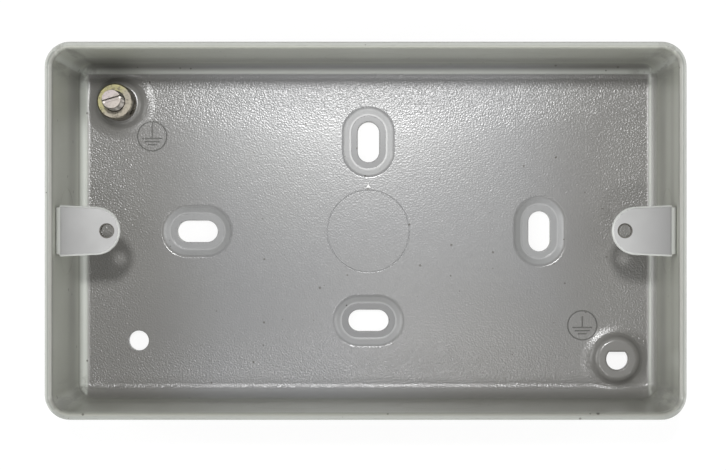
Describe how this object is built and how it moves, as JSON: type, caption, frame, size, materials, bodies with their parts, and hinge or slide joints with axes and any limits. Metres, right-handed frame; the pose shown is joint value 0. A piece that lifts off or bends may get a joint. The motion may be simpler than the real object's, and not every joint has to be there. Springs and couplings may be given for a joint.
{
  "type": "surface wiring back box",
  "caption": "Shallow rectangular steel back box with an open face, lugs for a faceplate, slotted wall fixings, knockouts and an earth terminal.",
  "frame": {"origin": "middle of the back, in the plane of the feet round the wall-fixing slots", "axes": "+X along the box, +Y across it towards the long wall with the row of spaced knockouts, +Z out of the open face"},
  "size_m": [0.1482, 0.0874, 0.04],
  "materials": {
    "shell_paint": "semi-gloss grey paint on drawn steel",
    "lug_paint": "semi-gloss grey paint on bent steel",
    "post_brass": "turned brass, dull",
    "screw_steel": "plated steel, satin"
  },
  "bodies": {
    "box": {"box_shell": "shell_paint", "lug_left": "lug_paint", "lug_right": "lug_paint", "earth_terminal_post": "post_brass"},
    "terminal_screw": {"earth_terminal_screw": "screw_steel"}
  },
  "joints": [
    {"name": "terminal_screw_turn", "type": "hinge", "parent": "box", "child": "terminal_screw", "pos_m": [-0.06231, 0.03201, 0.0158], "axis": [0, 0, 1], "continuous": true}
  ]
}
